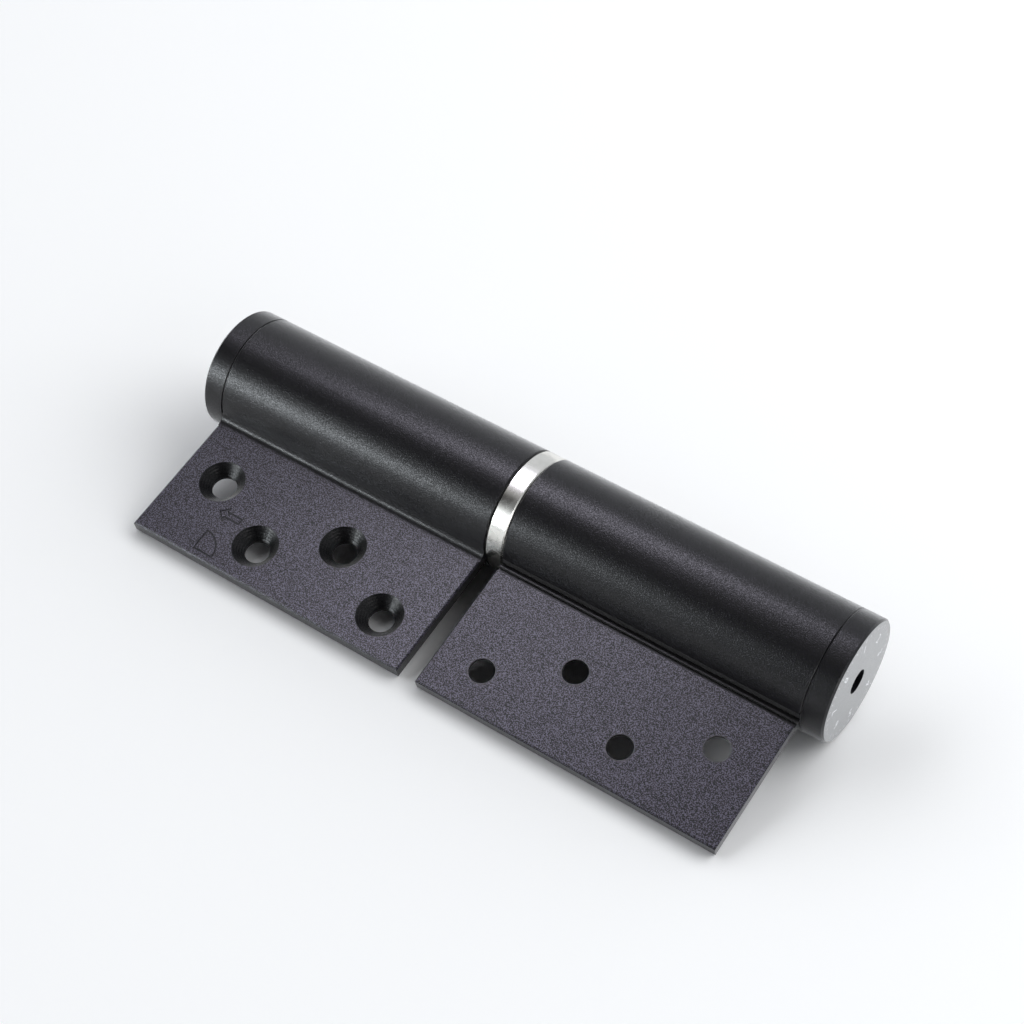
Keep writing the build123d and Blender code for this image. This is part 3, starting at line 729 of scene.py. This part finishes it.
def plain_mesh(holder):
    """The mesh that an object shows, after which the object isn't needed any more."""
    shown = holder.evaluated_get(bpy.context.evaluated_depsgraph_get())
    mesh = bpy.data.meshes.new_from_object(shown)
    bpy.data.objects.remove(holder)
    return mesh


def bake_ring(name, tree, sockets, settings):
    """Run the tree with these settings and give back a plain mesh."""
    seed = bpy.data.objects.new(name + "_seed", bpy.data.meshes.new(name + "_seed"))
    bpy.context.scene.collection.objects.link(seed)
    grown = seed.modifiers.new("ring", "NODES")
    grown.node_group = tree
    for label, value in settings.items():
        grown[sockets[label]] = value
    mesh = plain_mesh(seed)
    mesh.name = name
    return mesh


def flat_number(text, size, thickness):
    """The mesh of one number, its middle at the origin."""
    curve = bpy.data.curves.new("number", "FONT")
    curve.body = text
    curve.size = size
    curve.extrude = thickness / 2
    curve.resolution_u = number_steps
    curve.align_x = "CENTER"
    curve.align_y = "CENTER"
    holder = bpy.data.objects.new("number", curve)
    bpy.context.scene.collection.objects.link(holder)
    return plain_mesh(holder)


def add_piece(name, mesh, body):
    """A finished piece that moves with a body."""
    piece = bpy.data.objects.new(name, mesh)
    bpy.context.scene.collection.objects.link(piece)
    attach(piece, body)


mesh_helpers = (plain_mesh, bake_ring, flat_number, add_piece)
print("mesh helpers:", [helper.__name__ for helper in mesh_helpers])

# %% [markdown]
# The dial is drawn in its own flat XY plane and then laid on the cap: its X and Y become
# the world's Y and Z, and its Z points out of the end of the hinge. Half of each mark is
# sunk in the cap, so only two hundredths of a millimetre stand proud.

# %% Scale lines on the frame cap
line_count = 40
line_ring = 14.0 * mm
line_length = 0.6 * mm
line_width = 0.16 * mm
mark_rise = 0.02 * mm
on_cap = Matrix.Translation((cap_end, pin.y, pin.z)) @ Matrix((
    (0, 0, 1, 0), (1, 0, 0, 0), (0, 1, 0, 0), (0, 0, 0, 1),
))
lines = bake_ring("dial_lines", ring_tree, ring_inputs, {
    "Lines": line_count, "Radius": line_ring, "Length": line_length, "Width": line_width,
    "Height": 2 * mark_rise,
})
lines.transform(on_cap)
add_piece("dial_lines", lines, "frame")
print("scale lines:", line_count, "bars with", len(lines.polygons), "faces")

# %% [markdown]
# Eight numbers stand round the key hole inside the lines, each with its foot towards the
# middle. A number could be a piece of its own, but nothing moves it alone, so all eight
# become one mesh. Where the front, the back and the edge of a number meet they have points
# in the same place, and merging those closes the shape.

# %% Numbers on the frame cap
number_count = 8
number_ring = 11.0 * mm
number_size = 3.4 * mm
merge_distance = 0.0005 * mm

joined = bmesh.new()
for step in range(number_count):
    digit = flat_number(str(step + 1), number_size, 2 * mark_rise)
    spin = Matrix.Rotation(-step * 2 * pi / number_count, 4, "Z")
    digit.transform(on_cap @ spin @ Matrix.Translation((0, number_ring, 0)))
    joined.from_mesh(digit)
bmesh.ops.remove_doubles(joined, verts=joined.verts, dist=merge_distance)
numbers = bpy.data.meshes.new("dial_numbers")
joined.to_mesh(numbers)
joined.free()
numbers.materials.append(etched)
add_piece("dial_numbers", numbers, "frame")
print("numbers 1 to", number_count, "with", len(numbers.polygons), "faces")

# %% [markdown]
# The ring between the barrels is stainless steel from a polishing wheel, which leaves very
# fine lines round it, so it mirrors the room softly. The metals inside were turned or
# ground, and their lines run round the pin as well. Such lines only depend on how far
# along the pin and how far from it a point is, so a flat noise over those two numbers
# draws them, and on a flat end they become rings.

# %% Turned metals
wear_size = 4 * mm
worn_rough, fresh_rough = 1.2, 0.85
line_detail = 3.0


def turned_metal(name, light, dark, rough, line_size, line_height):
    """A metal with tool lines round the pin, a little uneven in colour and gloss."""
    finish, tree, place = start_finish(name)
    from_pin = add_node(tree, "ShaderNodeVectorMath", {"operation": "SUBTRACT"},
                        {0: place, 1: pin}).outputs["Vector"]
    split = add_node(tree, "ShaderNodeSeparateXYZ", inputs={0: from_pin}).outputs
    reach = calc(tree, "SQRT", calc(tree, "ADD", calc(tree, "POWER", split["Y"], 2.0),
                                    calc(tree, "POWER", split["Z"], 2.0)))
    along_and_out = add_node(tree, "ShaderNodeCombineXYZ", inputs={"X": split["X"], "Y": reach})
    line = add_node(tree, "ShaderNodeTexNoise", {"noise_dimensions": "2D"}, {
        "Vector": along_and_out.outputs[0], "Scale": 1 / line_size, "Detail": line_detail,
    }).outputs["Fac"]
    wear = noise(tree, place, wear_size)
    end_finish(tree, {
        "Base Color": blend_colours(tree, fade(tree, wear, *wear_from), dark, light),
        "Metallic": 1.0,
        "Roughness": fade(tree, wear, *wear_from, rough * worn_rough, rough * fresh_rough),
        "Normal": bumped(tree, line, line_height),
    })
    return finish


# For each slot: name, light and dark colour, roughness, width and height of the lines.
metals = {
    "polished_stainless": ("polished_stainless_steel", (0.80, 0.79, 0.75, 1),
                           (0.72, 0.71, 0.67, 1), 0.24, 0.12 * mm, 0.0008 * mm),
    "machined_steel": ("turned_steel", (0.56, 0.56, 0.57, 1),
                       (0.48, 0.48, 0.50, 1), 0.30, 0.15 * mm, 0.004 * mm),
    "hardened_steel": ("hardened_ground_steel", (0.66, 0.66, 0.68, 1),
                       (0.58, 0.58, 0.60, 1), 0.16, 0.08 * mm, 0.001 * mm),
    "spring_steel": ("oiled_spring_steel", (0.26, 0.26, 0.27, 1),
                     (0.16, 0.16, 0.17, 1), 0.32, 0.30 * mm, 0.002 * mm),
    "bronze": ("bearing_bronze", (0.56, 0.38, 0.19, 1),
               (0.46, 0.30, 0.15, 1), 0.30, 0.12 * mm, 0.003 * mm),
    "brass": ("turned_brass", (0.78, 0.60, 0.27, 1),
              (0.66, 0.50, 0.22, 1), 0.22, 0.12 * mm, 0.002 * mm),
}
metal_finishes = {slot: turned_metal(*recipe) for slot, recipe in metals.items()}
print("metals:", [finish.name for finish in metal_finishes.values()])

# %% [markdown]
# The seals are rubber and the ball cage is nylon, and both come out of a mould. They have
# no tool lines, only a dull and faintly uneven skin, so one noise does for colour, gloss
# and bump together.

# %% Moulded skins
skin_spread = 0.08
skin_height = 0.01 * mm


def moulded(name, light, dark, rough, grain):
    """Rubber or nylon: a dull moulded skin with a faint texture."""
    finish, tree, place = start_finish(name)
    skin = noise(tree, place, grain)
    end_finish(tree, {
        "Base Color": blend_colours(tree, skin, dark, light),
        "Roughness": fade(tree, skin, *wear_from, rough + skin_spread, rough - skin_spread),
        "Normal": bumped(tree, skin, skin_height),
    })
    return finish


moulded_finishes = {
    "nylon": moulded("moulded_nylon", (0.80, 0.78, 0.72, 1), (0.72, 0.70, 0.64, 1), 0.45,
                     0.5 * mm),
    "nitrile_rubber": moulded("nitrile_rubber", (0.030, 0.030, 0.031, 1),
                              (0.018, 0.018, 0.019, 1), 0.55, 0.3 * mm),
}
print("moulded:", [finish.name for finish in moulded_finishes.values()])

# %% [markdown]
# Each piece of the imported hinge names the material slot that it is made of, so the finishes
# are handed out by that name, in place of the plain ones that it came with. Only the two
# leaves are looked up by their own names, as their coats know where their holes are.

# %% Give every piece its finish
finishes = {"black_coat": coat_finish, **metal_finishes, **moulded_finishes}
for name, piece in frame["nodes"].items():
    for held in piece.material_slots:
        slot_name = held.material.name.split(".")[0]
        held.material = leaf_finishes.get(name, finishes[slot_name])
print("finishes:", sorted(m.name for m in bpy.data.materials if m.users))
